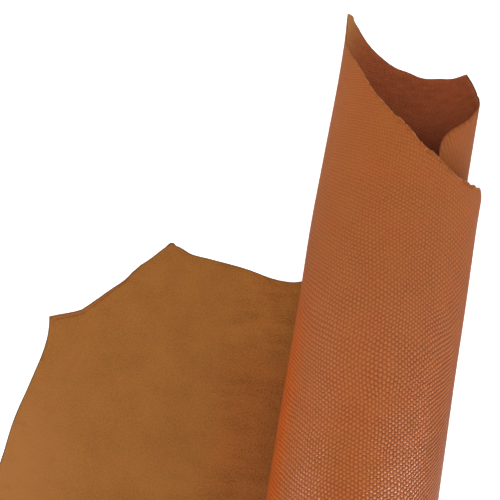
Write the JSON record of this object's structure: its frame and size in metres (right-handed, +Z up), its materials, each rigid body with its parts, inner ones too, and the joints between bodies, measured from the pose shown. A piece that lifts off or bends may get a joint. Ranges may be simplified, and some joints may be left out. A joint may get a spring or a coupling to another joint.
{
  "type": "leather hide",
  "caption": "Small tanned skin of leather lying flesh side up, its right half rolled over into a loose open roll with the pebbled grain side outward.",
  "frame": {"origin": "centre of the part's box on the surface that it lies on", "axes": "+Y along the roll's axis, away from the viewer and towards the open far mouth; +X across, from the flat part towards the roll; +Z up"},
  "size_m": [0.3006, 0.5039, 0.107],
  "materials": {
    "leather": "satin pebbled grain side and matt suede-like flesh side, both tan"
  },
  "bodies": {
    "root": {"hide": "leather"}
  },
  "joints": []
}
